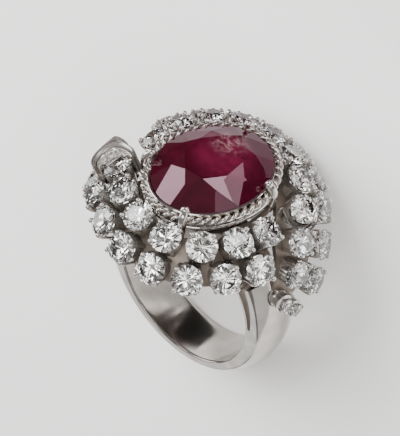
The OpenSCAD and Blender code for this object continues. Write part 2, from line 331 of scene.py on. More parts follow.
def shader_math(tree, operation, *values):
    """A Math node on these sockets or numbers; gives its output socket."""
    node = tree.nodes.new("ShaderNodeMath")
    node.operation = operation
    for socket, value in zip(node.inputs, values):
        feed(socket, value)
    return node.outputs[0]


def blend(tree, under, over, mask):
    """One colour over another where the mask is."""
    mix = tree.nodes.new("ShaderNodeMix")
    mix.data_type = "RGBA"
    return with_values(mix, Factor=mask, A=under, B=over).outputs["Result"]


def ranged(tree, value, smooth=False, **ends):
    """A value taken from one range to another, evenly or with soft ends."""
    node = new_node(tree, "ShaderNodeMapRange", Value=value, **ends)
    node.interpolation_type = "SMOOTHSTEP" if smooth else "LINEAR"
    return node.outputs["Result"]


def new_sockets(tree, in_out, **kinds):
    """Gives a node group its inputs or outputs, each with its kind."""
    for name, kind in kinds.items():
        tree.interface.new_socket(name.replace("_", " "), in_out=in_out,
                                  socket_type="NodeSocket" + kind)


# Hand polish on all the metal, and painted shade where a material has a mask for it.
CLOUD_SIZE = 1.6
SHADE_MOTTLE = 0.6
SHADE_METALLIC = 0.65
SCRATCH_TURN = (0.6, 0.3, 0.9)
SCRATCHES_A_METRE = (900, 14000, 14000)
SCRATCH_DEEP = 2e-6


def polish_group():
    """Hand polish: clouds of duller metal, and fine wiping scratches as a slight bump."""
    tree = bpy.data.node_groups.new("Hand polish", "ShaderNodeTree")
    new_sockets(tree, "INPUT", Place="Vector", Cloud_size="Float", Scratch_depth="Float")
    new_sockets(tree, "OUTPUT", Wear="Float", Normal="Vector")
    given = tree.nodes.new("NodeGroupInput").outputs
    clouds_a_metre = shader_math(tree, "DIVIDE", 1.0, given["Cloud size"])
    cloud = new_node(tree, "ShaderNodeTexNoise", Vector=given["Place"], Scale=clouds_a_metre, Detail=3)
    stretch = new_node(tree, "ShaderNodeMapping", Vector=given["Place"], Rotation=SCRATCH_TURN,
                       Scale=SCRATCHES_A_METRE)
    scratch = new_node(tree, "ShaderNodeTexNoise", Vector=stretch.outputs["Vector"], Scale=1, Detail=4)
    bump = new_node(tree, "ShaderNodeBump", Height=scratch.outputs["Fac"], Distance=SCRATCH_DEEP,
                    Strength=given["Scratch depth"])
    new_node(tree, "NodeGroupOutput", Wear=cloud.outputs["Fac"], Normal=bump.outputs["Normal"])
    return tree


hand_polish = polish_group()


def metal(name, bright, dull, smooth_rough, worn_rough, scratches, mask=None):
    """White gold from bright to dull by its wear, or by painted shade in a mask, which isn't all metal.
    """
    material = new_material(name, Metallic=1)
    tree = material.node_tree
    gold = tree.nodes["Principled BSDF"]
    place = tree.nodes.new("ShaderNodeTexCoord").outputs["Object"]
    polish = tree.nodes.new("ShaderNodeGroup")
    polish.node_tree = hand_polish
    with_values(polish, Place=place, Cloud_size=CLOUD_SIZE * MM, Scratch_depth=scratches)
    wear_and_shade = polish.outputs["Wear"]
    if mask:
        painted_shade = tree.nodes.new("ShaderNodeAttribute")
        painted_shade.attribute_name = mask
        # Painted shade: the mask darkens the gold towards brown, mottled by the wear clouds.
        mottle = shader_math(tree, "MULTIPLY_ADD", wear_and_shade, SHADE_MOTTLE, -SHADE_MOTTLE / 2)
        wear_and_shade = shader_math(tree, "ADD", painted_shade.outputs["Fac"], mottle)
        with_values(gold, Metallic=ranged(tree, wear_and_shade, To_Min=1, To_Max=SHADE_METALLIC))
    with_values(gold, Base_Color=blend(tree, bright, dull, wear_and_shade), Normal=polish.outputs["Normal"],
                Roughness=ranged(tree, wear_and_shade, To_Min=smooth_rough, To_Max=worn_rough))
    return material


band_gold = metal("Worn white gold of the band", (0.73, 0.70, 0.67), (0.38, 0.35, 0.32), 0.07, 0.2, 0.3)
# The slit's gold is rougher, and tinted browner as painted shade in the recess.
slit_shade_gold = metal("White gold with painted shade in the slit", (0.72, 0.66, 0.61), (0.48, 0.43, 0.39), 0.4, 0.6, 0.6)

# Across the band: flat with rounded edges, closer slices at the edges.
edge_turns = [radians(a) for a in (0, 22.5, 45, 67.5)]
outer_slices = [BAND_W / 2 - EDGE_ROUND * (1 - cos(a)) for a in edge_turns]
flat_slices = [k * BAND_W / FLAT_SLICES for k in range(1 - FLAT_SLICES // 2, FLAT_SLICES // 2)]
slices = [-y for y in outer_slices] + flat_slices + outer_slices[::-1]


def edge_loss(y):
    """How much the rounded edge takes off at a distance from the band's middle."""
    past = abs(y) - (BAND_W / 2 - EDGE_ROUND)
    return EDGE_ROUND - sqrt(max(EDGE_ROUND ** 2 - past ** 2, 0)) if past > 0 else 0.0


def slit_side(theta):
    """The side that the slit opens on: the front one on the ring's right, the back one on its left."""
    return -1 if cos(radians(theta)) > 0 else 1


def slit_width(theta, y):
    """The slit between band and shoulder at an angle round the finger and a place across."""
    turned = theta if y < 0 else 180 - theta
    return max(SLIT_OPENS * sin(radians(turned - SLIT_FROM)), 0) if -90 < turned < 90 else 0.0


# The hoop's layers, each as its distance from the finger's axis at an angle and a place across.
def band_inside(theta, y):
    return BAND_R + edge_loss(y)


def slit_floor(theta, y):
    return band_out - SLIT_IN_BAND


def seam(theta, y):
    return band_out


def slit_top(theta, y):
    return band_out + slit_width(theta, slit_side(theta))


def shank_reach(theta, y):
    a = radians(theta)
    circle = shank_rise * sin(a) + sqrt(SHANK_R ** 2 - (shank_rise * cos(a)) ** 2)
    return circle - (dome_r - sqrt(dome_r ** 2 - y ** 2)) - edge_loss(y)


def hoop_point(theta, r, y):
    """A point at an angle round the finger, a distance from its axis and a place across."""
    return (r * cos(radians(theta)), y, r * sin(radians(theta)))


def hoop_mesh():
    """Fills the hoop with small blocks and keeps the walls that no two blocks share."""
    shoulder_starts = min(t for t in range(-89, 90)
                          if shank_reach(t, 0) * sin(radians(t)) > SHOULDER_TOP)
    walls = {}

    def block(low, high):
        """One block between two stations, each a ring of four points round the section."""
        faces = [low, high[::-1]] + [(low[i - 1], high[i - 1], high[i], low[i]) for i in range(4)]
        for face in faces:
            keyed = tuple(tuple(round(c, 5) for c in p) for p in face)
            if len(set(keyed)) > 2:
                walls.setdefault(frozenset(keyed), []).append(keyed)

    def cell(t0, t1, y0, y1, inner, outer):
        """The block between two angles, two places across and two of the hoop's layers."""
        block(*[[hoop_point(t, inner(t, y0), y0), hoop_point(t, outer(t, y0), y0),
                 hoop_point(t, outer(t, y1), y1), hoop_point(t, inner(t, y1), y1)] for t in (t0, t1)])

    stations = list(range(0, 360, HOOP_STEP)) + [SLIT_FROM, 180 - SLIT_FROM]
    stations += [shoulder_starts, 180 - shoulder_starts]
    stations = sorted(set(stations)) + [360]
    for t0, t1 in zip(stations, stations[1:]):
        middle = (t0 + t1) / 2
        for y0, y1 in zip(slices, slices[1:]):
            y_slit = slit_side(middle)
            on_top = shoulder_starts < middle < 180 - shoulder_starts
            opened = slit_width(middle, y_slit) > 0 and not on_top
            filled = not opened or (y0 + y1) / 2 * y_slit < BAND_W / 2 - SLIT_DEEP
            cell(t0, t1, y0, y1, band_inside, slit_floor)
            if filled:
                cell(t0, t1, y0, y1, slit_floor, seam)
            if opened and filled:
                cell(t0, t1, y0, y1, seam, slit_top)
            if not on_top:
                cell(t0, t1, y0, y1, slit_top, shank_reach)
    shape = bmesh.new()
    made = {}
    for copies in walls.values():
        if len(copies) == 1:
            ring = list(dict.fromkeys(copies[0]))
            for p in ring:
                if p not in made:
                    made[p] = shape.verts.new(p)
            shape.faces.new([made[p] for p in ring])
    # Faces in the slit take the browner gold, painted shade in the recess.
    for face in shape.faces:
        middle = face.calc_center_median()
        theta = degrees(atan2(middle.z, middle.x)) % 360
        theta -= 360 if theta > 270 else 0
        past = sqrt(middle.x ** 2 + middle.z ** 2) - band_out
        beside_slit = SLIT_FROM < (theta if middle.y < 0 else 180 - theta) < shoulder_starts
        near_wall, far_wall = -SLIT_IN_BAND, slit_width(theta, middle.y)
        in_slit = near_wall - SLIT_WALL_SLACK < past < far_wall + SLIT_WALL_SLACK
        face.material_index = int(beside_slit and in_slit)
    mesh = finished(shape, "band_and_shank", band_gold, 50)
    mesh.materials.append(slit_shade_gold)
    return mesh


add_piece("band_and_shank", hoop_mesh())

# Gallery. Under the ruby a plain cone of sheet metal carries the basket and joins it to the band
# and the two arms. Its foot is cut to the finger hole, and little of it shows between the stones.
# It is painted dark brown as the shade under the ruby.
GALLERY_FOOT = 6.5
GALLERY_TOP = 13.4
GALLERY_R = 5.0
GALLERY_FLARE = 1.6
GALLERY_T = 0.6
GALLERY_SIDES = 64
FINGER_ROOM = 8.95
gallery_shade = [1.0, 0.9, 0.9, 1.0]
# The brown of painted shade in hollows and between parts, and a rough gold that takes it.
shade_brown = (0.14, 0.11, 0.088)
shaded_rough_gold = metal("Unpolished white gold with painted shade", (0.5, 0.45, 0.4), shade_brown, 0.2, 0.38, 0.6,
                    mask="painted_shade")


def shade_layer(shape):
    """The layer that holds the painted shade at each point of a shape."""
    return shape.verts.layers.float.get("painted_shade") or shape.verts.layers.float.new("painted_shade")


def loft(shape, rings, closed=False, painted_shade=0.0):
    """Joins rings of points into a tube.

    The painted shade is one number for all, a list with one for each point of a ring, or a column
    with one for each ring.
    """
    layer = shade_layer(shape)
    made = [[shape.verts.new(p) for p in ring] for ring in rings]
    shade = np.broadcast_to(painted_shade, (len(rings), len(rings[0]))).tolist()
    for ring, ring_shades in zip(made, shade):
        for vert, point_shade in zip(ring, ring_shades):
            vert[layer] = point_shade
    pairs = list(zip(made, made[1:])) + ([(made[-1], made[0])] if closed else [])
    for a, b in pairs:
        for i in range(len(a)):
            shape.faces.new((a[i - 1], b[i - 1], b[i], a[i]))
    if not closed:
        shape.faces.new(made[0])
        shape.faces.new(made[-1][::-1])


def lathe(shape, profile, sides, painted_shade):
    """Turns a closed outline of (radius, height) points round Z, with the painted shade at each point.
    """
    rings = [[(r * cos(a), r * sin(a), z) for r, z in profile] for a in full_turn(sides)]
    loft(shape, rings, closed=True, painted_shade=painted_shade)


shape = bmesh.new()
gallery_out = [(GALLERY_R, GALLERY_FOOT), (GALLERY_R + GALLERY_FLARE, GALLERY_TOP)]
gallery_in = [(r - GALLERY_T, z) for r, z in gallery_out[::-1]]
lathe(shape, gallery_out + gallery_in, GALLERY_SIDES, gallery_shade)
for vert in shape.verts:
    vert.co.z = max(vert.co.z, sqrt(FINGER_ROOM ** 2 - vert.co.x ** 2))
add_piece("gallery", finished(shape, "gallery", shaded_rough_gold))

# Arm plates. Each arm is a curved plate that carries two rows of collets and curls from beside
# the ruby down to the shoulder. It was cast rough, and is painted dark brown as the shade between
# the collets.


def diamonds(first, last):
    """The CAD nodes of a row of diamonds."""
    return [f"diamond_{k:02d}" for k in range(first, last + 1)]


ROWS = {
    "front_inner_row": diamonds(1, 10),
    "front_outer_row": diamonds(11, 20),
    "back_inner_row": diamonds(21, 31),
    "back_outer_row": diamonds(32, 41),
}

# Each plate has its inner and outer row, and how far it reaches inside the inner one.
ARM_PLATES = {
    "front_arm_plate": ("front_inner_row", "front_outer_row", 1.0),
    "back_arm_plate": ("back_inner_row", "back_outer_row", 2.2),
}
PLATE_DROP = 1.7
PLATE_T = 0.6

# Past this share of the arm's length the plate's inner side narrows to its end.
PLATE_NARROWS = 0.8
PLATE_END_INSIDE = 0.8
PLATE_OUTSIDE = 1.0
PLATE_STEPS = 60
PLATE_SHADE = 0.85

# A stone's corners past this share of its radius are its girdle's.
RIM_FROM = 0.9
to_upright = laid.inverted()


class Seat:
    """Where a stone sits: its girdle's centre, the way its table faces, and its diameter."""

    def __init__(self, node):
        points = np.array([to_upright @ Vector(p) for p in corners_of(node)])
        spread = points - points.mean(axis=0)
        thin = np.linalg.svd(spread, full_matrices=False)[2][2]
        heights = spread @ thin
        self.out = Vector(thin if abs(heights.min()) > abs(heights.max()) else -thin)
        away = np.linalg.norm(spread - np.outer(heights, thin), axis=1)
        rim = points[away > RIM_FROM * away.max()]
        self.centre = Vector(rim.mean(axis=0))
        self.diameter = 2 * float(np.linalg.norm(rim - rim.mean(axis=0), axis=1).max())
        self.along = Vector((1, 0, 0))


def seated_row(nodes):
    """The seats of a row, each with its direction along the row."""
    seats = [Seat(node) for node in nodes]
    for k, seat in enumerate(seats):
        run = seats[min(k + 1, len(seats) - 1)].centre - seats[max(k - 1, 0)].centre
        seat.along = (run - run.dot(seat.out) * seat.out).normalized()
    return seats


rows = {name: seated_row(nodes) for name, nodes in ROWS.items()}


def on_row(seats, share):
    """Centre, across and out direction at a share of a row's length, smoothly along its seats."""
    step = share * (len(seats) - 1)
    k = min(int(step), len(seats) - 2)
    t = step - k
    near = [seats[min(max(i, 0), len(seats) - 1)] for i in (k - 1, k, k + 1, k + 2)]

    # One spline goes through the seats, and a softer one past their directions.
    through = [(-t + 2 * t * t - t ** 3) / 2, (2 - 5 * t * t + 3 * t ** 3) / 2,
               (t + 4 * t * t - 3 * t ** 3) / 2, (t ** 3 - t * t) / 2]
    past = [(1 - t) ** 3 / 6, (3 * t ** 3 - 6 * t * t + 4) / 6,
            (1 + 3 * t + 3 * t * t - 3 * t ** 3) / 6, t ** 3 / 6]
    centre, along, out = [sum((w * getattr(s, what) for w, s in zip(weights, near)), Vector())
                          for what, weights in (("centre", through), ("along", past), ("out", past))]
    return centre, out.cross(along).normalized(), out.normalized()


def plate_section(inner, outer, inside, share):
    """The plate's outline at a share of the arm's length, from that far inside its inner row."""
    narrowed = max(share - PLATE_NARROWS, 0) / (1 - PLATE_NARROWS)
    inside += (PLATE_END_INSIDE - inside) * narrowed
    inner_at, inner_across, inner_out = on_row(inner, share)
    outer_at, outer_across, outer_out = on_row(outer, share)

    def under(drop):
        first = inner_at - inside * inner_across - drop * inner_out
        middle = (inner_at - drop * inner_out + outer_at - drop * outer_out) / 2
        last = outer_at + PLATE_OUTSIDE * outer_across - drop * outer_out
        return [first, middle, last]

    return under(PLATE_DROP) + under(PLATE_DROP + PLATE_T)[::-1]


for name, (inner, outer, inside) in ARM_PLATES.items():
    shape = bmesh.new()
    rings = [plate_section(rows[inner], rows[outer], inside, k / PLATE_STEPS)
             for k in range(PLATE_STEPS + 1)]
    loft(shape, rings, painted_shade=PLATE_SHADE)
    add_piece(name, finished(shape, name, shaded_rough_gold))

# Collets. Every diamond sits in a short tube of its own, with four wire claws up its sides that
# are burnished to beads over its edge, and the last tube of a row is taller, with a collar. Rims
# and tips are bright from wear, and the walls between and the beads' undersides are painted dark
# as shade.
COLLET_SIDES = 20
CLAW_SIDES = 8
CLAW_R = 0.25
CLAW_BEAD_R = 0.27
CLAW_BEAD_SIDES = 10
CLAW_BEAD_AT = (1.49, 0.27)
# Painted shade on the undersides of the claw beads.
CLAW_BEAD_SHADE = 0.8
# How much painted shade each row's collets take: the front rows are painted darker than the back ones.
ROW_SHADE = {"front_inner_row": 0.95, "front_outer_row": 0.95,
              "back_inner_row": 0.55, "back_outer_row": 0.55}
white_gold = (0.83, 0.80, 0.765)
# Worn white gold, darkened by painted shade where its mask says.
collet_gold = metal("Worn white gold", white_gold, shade_brown, 0.06, 0.3, 0.5, mask="painted_shade")

# Outlines and the claw's path go through (radius, height, painted shade), drawn for a stone this wide.
COLLET_FOR = 3.1
collet_outline = [(1.16, -2.35, 1.0), (1.33, -2.3, 0.95), (1.40, -1.2, 0.75), (1.47, -0.55, 0.25),
                  (1.47, -0.40, 0.0), (1.40, -0.34, 0.0), (1.30, -0.40, 0.3), (1.22, -1.0, 0.9),
                  (1.10, -1.6, 1.0)]
end_outline = [(1.7, -4.6, 0.9), (1.9, -4.5, 0.5), (1.95, -2.6, 0.1), (1.85, -2.4, 0.1),
               (1.62, -2.4, 0.9), (1.62, -1.3, 0.9), (1.9, -1.1, 0.1), (1.9, -0.9, 0.0),
               (1.47, -0.6, 0.3), (1.40, -0.34, 0.0), (1.30, -0.40, 0.3), (1.22, -1.0, 0.9),
               (1.10, -1.6, 1.0)]
claw_path = [(1.30, -2.0, 0.95), (1.40, -0.9, 0.85), (1.51, -0.35, 0.7), (1.55, 0.0, 0.55),
             (1.53, 0.18, 0.3)]


def wire(shape, points, radii, sides, painted_shade=0.0):
    """A round wire through points, with a radius at each of them and painted shade as in a loft."""
    points = [Vector(p) for p in points]
    rings = []
    side = (points[1] - points[0]).orthogonal().normalized()
    for k, (p, r) in enumerate(zip(points, radii)):
        run = (points[min(k + 1, len(points) - 1)] - points[max(k - 1, 0)]).normalized()
        side = (side - side.dot(run) * run).normalized()
        up = run.cross(side)
        rings.append([p + r * (cos(a) * side + sin(a) * up) for a in full_turn(sides)])
    loft(shape, rings, painted_shade=painted_shade)


def bead(shape, centre, r, sides, painted_shade=0.0):
    """A ball on a claw's end, with painted shade on all but its top."""
    layer = shade_layer(shape)
    ball = bmesh.ops.create_uvsphere(shape, u_segments=sides, v_segments=sides // 2 + 1, radius=r,
                                     matrix=Matrix.Translation(centre))
    for vert in ball["verts"]:
        vert[layer] = painted_shade if vert.co.z < centre[2] + r / 3 else 0


def collet(outline, darkening):
    """A collet of that outline with its four claws, with more or less painted shade."""
    shape = bmesh.new()
    lathe(shape, [(r, z) for r, z, shade in outline], COLLET_SIDES,
          [darkening * shade for r, z, shade in outline])
    out, up = CLAW_BEAD_AT
    for k in range(4):
        a = pi / 4 + k * pi / 2
        wire(shape, [(r * cos(a), r * sin(a), z) for r, z, shade in claw_path],
             [CLAW_R] * len(claw_path), CLAW_SIDES, [[darkening * shade] for r, z, shade in claw_path])
        bead(shape, (out * cos(a), out * sin(a), up), CLAW_BEAD_R, CLAW_BEAD_SIDES,
             CLAW_BEAD_SHADE * darkening)
    return finished(shape, "collet", collet_gold)


def finish_tree(tree, made, material, told):
    """Ends a geometry tree: makes its copies real and gives them the material."""
    real = new_node(tree, "GeometryNodeRealizeInstances", Geometry=made)
    finish = new_node(tree, "GeometryNodeSetMaterial", Geometry=real.outputs["Geometry"],
                      Material=material)
    new_node(tree, "NodeGroupOutput", **{told: finish.outputs["Geometry"]})


def setting_tree():
    """Sets a copy of a part on every seat, turned by its out and along directions and to size."""
    tree = bpy.data.node_groups.new("Set on seats", "GeometryNodeTree")
    new_sockets(tree, "INPUT", Seats="Geometry", Part="Object", Finish="Material")
    new_sockets(tree, "OUTPUT", Parts="Geometry")
    given = tree.nodes.new("NodeGroupInput").outputs

    def attribute(name, kind):
        """What the points hold under that name."""
        node = new_node(tree, "GeometryNodeInputNamedAttribute", Name=name)
        node.data_type = kind
        return node.outputs["Attribute"]

    turn = tree.nodes.new("FunctionNodeAxesToRotation")
    turn.primary_axis = "Z"
    turn.secondary_axis = "X"
    feed(turn.inputs[0], attribute("out", "FLOAT_VECTOR"))
    feed(turn.inputs[1], attribute("along", "FLOAT_VECTOR"))
    part = new_node(tree, "GeometryNodeObjectInfo", Object=given["Part"])
    copies = new_node(tree, "GeometryNodeInstanceOnPoints", Points=given["Seats"],
                      Instance=part.outputs["Geometry"], Rotation=turn.outputs["Rotation"],
                      Scale=attribute("size", "FLOAT"))
    finish_tree(tree, copies.outputs["Instances"], given["Finish"], "Parts")
    return tree


set_on_seats = setting_tree()


def made_by(tree, start, name, **values):
    """The plain mesh that a geometry tree makes from a start mesh and its named inputs."""
    worker = new_object(name, start)
    modifier = worker.modifiers.new(name, "NODES")
    modifier.node_group = tree
    sockets = {item.name: item.identifier for item in tree.interface.items_tree
               if item.in_out == "INPUT"}
    for label, value in values.items():
        modifier[sockets[label.replace("_", " ")]] = value
    shown = worker.evaluated_get(bpy.context.evaluated_depsgraph_get())
    mesh = bpy.data.meshes.new_from_object(shown)
    bpy.data.objects.remove(worker)
    mesh.name = name
    return mesh


def seats_mesh(seats, spins):
    """A mesh of points with what the setting tree reads of each seat."""
    mesh = bpy.data.meshes.new("seats")
    mesh.from_pydata([seat.centre for seat in seats], [], [])
    turned = [Matrix.Rotation(spin, 3, seat.out) @ seat.along for seat, spin in zip(seats, spins)]
    for name, vectors in (("out", [seat.out for seat in seats]), ("along", turned)):
        layer = mesh.attributes.new(name, "FLOAT_VECTOR", "POINT")
        layer.data.foreach_set("vector", [c for v in vectors for c in v])
    size = mesh.attributes.new("size", "FLOAT", "POINT")
    size.data.foreach_set("value", [seat.diameter / COLLET_FOR for seat in seats])
    return mesh


def set_row(name, part_mesh, seats, spins, material):
    """One mesh with a copy of the part on every seat of a row."""
    part = new_object("part", part_mesh)
    mesh = made_by(set_on_seats, seats_mesh(seats, spins), name, Part=part, Finish=material)
    bpy.data.objects.remove(part)
    return mesh


for name, seats in rows.items():
    for end, outline, held in (("collets", collet_outline, seats[:-1]),
                               ("end_collet", end_outline, seats[-1:])):
        tube = collet(outline, ROW_SHADE[name])
        tubes = set_row(f"{name}_{end}", tube, held, [0] * len(held), collet_gold)
        add_piece(f"{name}_{end}", tubes)

# Crest arches. Where an arm turns down to the shoulder, a grooved rim stands round the last stone
# on top, on the front arm like a pointed petal. It is bent from strip and soldered to the plate.
CREST_STEPS = 32
CREST_T = 0.68
CREST_STEP = 0.5
CREST_FOOT = -2.0
CREST_INNER_FOOT = -0.6

# Each arch has its row and the stone that it bends round, and how far it is drawn out to a point,
# leans, stands over the stone's edge, and rises to its peak.
CRESTS = {
    "front_crest_arch": dict(row="front_inner_row", stone=6, point=1.3, lean=0.75, top=0.85, peak=0.7),
    "back_crest_arch": dict(row="back_inner_row", stone=7, point=0.0, lean=0.0, top=-0.6, peak=0.0),
}

# The grooved strip has two rims, each through (gap from the stone, height from that rim's top).
low_rim = [(0.04, -0.1), (0.1, 0.0), (0.2, -0.04), (0.26, -0.45), (0.32, 0.0)]
high_rim = [(0.36, -0.12), (0.46, -0.06), (0.5, -0.48), (0.54, -0.02), (0.62, 0.0), (CREST_T, -0.1)]
# Painted shade in the grooves and towards the feet, one number for each point of the section.
crest_shade = [0.6, 0.2, 0.0, 0.3, 1.2, 0.5, 0.0, 0.3, 1.2, 0.3, 0.0, 0.0, 0.4, 1.0]
bright_gold = metal("Bright white gold", (0.93, 0.90, 0.87), shade_brown, 0.15, 0.35, 1.0, mask="painted_shade")


def arch_point(turn, r, point):
    """A half circle round the end of an arm, drawn out to a point."""
    return (r + point * (1 - abs(sin(turn))) ** 1.5) * cos(turn), r * sin(turn)


for name, crest in CRESTS.items():
    seat = rows[crest["row"]][crest["stone"]]
    across = seat.out.cross(seat.along)
    shape = bmesh.new()
    rings = []
    for step in range(CREST_STEPS + 1):
        turn = pi * (step / CREST_STEPS - 0.5)
        top = crest["top"] + crest["peak"] * (1 - abs(sin(turn)) ** 2 / 2 + sin(turn) / 3)
        section = [(low_rim[0][0] / 2, CREST_INNER_FOOT)]
        section += [(gap, top - CREST_STEP + z) for gap, z in low_rim]
        section += [(gap, top + z) for gap, z in high_rim]
        section += [(CREST_T, CREST_FOOT), (high_rim[0][0], CREST_FOOT)]
        ring = []
        for gap, z in section:
            x, y = arch_point(turn, seat.diameter / 2 + gap, crest["point"] * gap / CREST_T)
            y -= crest["lean"] * gap / CREST_T * cos(turn) ** 4
            ring.append(seat.centre + x * seat.along + y * across + z * seat.out)
        rings.append(ring)
    loft(shape, rings, painted_shade=crest_shade)
    add_piece(name, finished(shape, name, bright_gold))

# Basket. The ruby lies in an oval rail of flat sheet. Round it run a rope of two twisted wires
# and, lower down, one plain drawn wire, both bent to the oval and soldered on.
RAIL_GAP = -0.04
RAIL_T = 0.26
RAIL_H = 1.25
RAIL_EDGE = 0.06
RAIL_LOW = -0.35
RAIL_HIGH = 0.35
RAIL_HIGH_AT = radians(-42)
ROPE_TURNS = 22
ROPE_TURN_STEPS = 18
ROPE_SIDES = 10
ROPE_STRAND_R = 0.19
ROPE_TWIST_R = 0.25
ROPE_OUT = 0.52
ROPE_CORE_R = 0.2
ROPE_DROP = 0.26
WIRE_R = 0.28
WIRE_DROP = 1.1
WIRE_SIDES = 12
OVAL_STEPS = 128
polished_gold = metal("Polished white gold", white_gold, (0.74, 0.70, 0.66), 0.07, 0.16, 0.25)
ruby_corners = np.array([to_upright @ Vector(p) for p in corners_of("ruby")])
ruby_half_w, ruby_half_l = np.abs(ruby_corners[:, :2]).max(axis=0).tolist()
ruby_away = np.hypot(ruby_corners[:, 0] / ruby_half_w, ruby_corners[:, 1] / ruby_half_l)
ruby_rim = ruby_corners[ruby_away > RIM_FROM]
ruby_girdle_z = float(ruby_rim[:, 2].mean())


def beside_ruby(a, outside, up):
    """A point beside the ruby: angle round it, distance outside its girdle and height above it."""
    return Vector((cos(a) * (ruby_half_w + outside), sin(a) * (ruby_half_l + outside),
                   ruby_girdle_z + up))


def rail_top(a):
    """The rail's height at an angle: it was bent by hand and stands higher on the front right."""
    return RAIL_LOW + (RAIL_HIGH - RAIL_LOW) * (0.5 + 0.5 * cos(a - RAIL_HIGH_AT))


shape = bmesh.new()
rail_out = RAIL_GAP + RAIL_T
rail_rings = []
for a in full_turn(OVAL_STEPS):
    top = rail_top(a)
    section = [(RAIL_GAP, top), (rail_out - RAIL_EDGE, top), (rail_out, top - RAIL_EDGE),
               (rail_out, -RAIL_H), (RAIL_GAP, -RAIL_H)]
    rail_rings.append([beside_ruby(a, x, z) for x, z in section])
loft(shape, rail_rings, closed=True)
add_piece("seat_rail", finished(shape, "seat_rail", polished_gold))


def rope_tree():
    """Two wires that run round an oval, twisted round each other."""
    tree = bpy.data.node_groups.new("Twisted wires", "GeometryNodeTree")
    new_sockets(tree, "INPUT", Start="Geometry", Half_width="Float", Half_length="Float",
                Height="Float", Turns="Float", Twist_radius="Float", Wire_radius="Float",
                Steps_a_turn="Float", Sides="Float", Finish="Material")
    new_sockets(tree, "OUTPUT", Wires="Geometry")
    given = tree.nodes.new("NodeGroupInput").outputs
    joined = tree.nodes.new("GeometryNodeJoinGeometry")
    for phase in (0, pi):
        steps = shader_math(tree, "MULTIPLY", given["Turns"], given["Steps a turn"])
        path = new_node(tree, "GeometryNodeCurvePrimitiveCircle", Resolution=steps)
        share = tree.nodes.new("GeometryNodeSplineParameter").outputs["Factor"]
        round_ruby = shader_math(tree, "MULTIPLY", share, 2 * pi)
        twist = shader_math(tree, "MULTIPLY_ADD", round_ruby, given["Turns"], phase)
        swing = shader_math(tree, "MULTIPLY", shader_math(tree, "COSINE", twist), given["Twist radius"])
        lift = shader_math(tree, "MULTIPLY", shader_math(tree, "SINE", twist), given["Twist radius"])
        place = tree.nodes.new("ShaderNodeCombineXYZ")
        for axis, turn, half in (("X", "COSINE", "Half width"), ("Y", "SINE", "Half length")):
            reach = shader_math(tree, "ADD", given[half], swing)
            to_side = shader_math(tree, turn, round_ruby)
            feed(place.inputs[axis], shader_math(tree, "MULTIPLY", to_side, reach))
        feed(place.inputs["Z"], shader_math(tree, "ADD", given["Height"], lift))
        bent = new_node(tree, "GeometryNodeSetPosition", Geometry=path.outputs["Curve"],
                        Position=place.outputs["Vector"])
        profile = new_node(tree, "GeometryNodeCurvePrimitiveCircle", Resolution=given["Sides"],
                           Radius=given["Wire radius"])
        swept = new_node(tree, "GeometryNodeCurveToMesh", Curve=bent.outputs["Geometry"],
                         Profile_Curve=profile.outputs["Curve"])
        feed(joined.inputs["Geometry"], swept.outputs["Mesh"])
    finish_tree(tree, joined.outputs["Geometry"], given["Finish"], "Wires")
    return tree


twisted_wires = rope_tree()
rope = made_by(twisted_wires, bpy.data.meshes.new("start"), "rope_edge", Finish=polished_gold,
               Half_width=ruby_half_w + ROPE_OUT, Half_length=ruby_half_l + ROPE_OUT,
               Height=ruby_girdle_z - ROPE_DROP, Turns=float(ROPE_TURNS), Twist_radius=ROPE_TWIST_R,
               Wire_radius=ROPE_STRAND_R, Steps_a_turn=float(ROPE_TURN_STEPS),
               Sides=float(ROPE_SIDES))
rope.polygons.foreach_set("use_smooth", [True] * len(rope.polygons))
add_piece("rope_edge", rope)


def oval_wire(name, r, drop, material, painted_shade):
    """A round wire bent to the oval outside the ruby's rail."""
    shape = bmesh.new()
    rings = [[beside_ruby(a, ROPE_OUT + r * cos(t), r * sin(t) - drop) for t in full_turn(WIRE_SIDES)]
             for a in full_turn(OVAL_STEPS)]
    loft(shape, rings, closed=True, painted_shade=painted_shade)
    add_piece(name, finished(shape, name, material))


# A dark core inside the rope, painted shade that keeps the gaps between its strands dark.
oval_wire("rope_core", ROPE_CORE_R, ROPE_DROP, shaded_rough_gold, 1.0)
oval_wire("plain_wire", WIRE_R, WIRE_DROP, polished_gold, 0.0)

# Ruby claws. Four stout claws of round white gold wire are soldered on outside the rope, bend in
# over the ruby's edge and end in polished beads.
RUBY_CLAWS = (18, 105.5, 207, 295)
RUBY_CLAW_R = 0.45
RUBY_BEAD_R = 0.46
RUBY_BEAD_AT = (0.3, 0.77)
RUBY_CLAW_SIDES = 14
RUBY_BEAD_SIDES = 16

# Angles are in degrees, and a claw runs through (distance outside the girdle, height above it).
claw_run = [(0.35, -3.3), (0.80, -1.6), (0.94, -0.6), (0.88, 0.05), (0.62, 0.45), (0.36, 0.62)]
claw_widths = [0.9, 1.0, 1.0, 1.0, 0.95, 0.85]
for k, angle in enumerate(RUBY_CLAWS):
    a = radians(angle)
    shape = bmesh.new()
    wire(shape, [beside_ruby(a, x, z) for x, z in claw_run],
         [RUBY_CLAW_R * share for share in claw_widths], RUBY_CLAW_SIDES)
    bead(shape, beside_ruby(a, *RUBY_BEAD_AT), RUBY_BEAD_R, RUBY_BEAD_SIDES)
    name = f"ruby_claw_{k + 1}"
    add_piece(name, finished(shape, name, polished_gold))

# Ruby. An oval mixed-cut ruby of about six carats, deep red, with clouds of silk and a few
# veils inside. Its table has eight corners, ringed by stars, kites and upper girdle facets.
RUBY_SIDES = 96
RUBY_TABLE = 0.505
RUBY_CROWN = 1.6
RUBY_GIRDLE = 0.3
RUBY_PAVILION = 4.3
RUBY_STAR = 0.675
RUBY_LOWER = 0.35
RUBY_TURN = radians(-15.6)

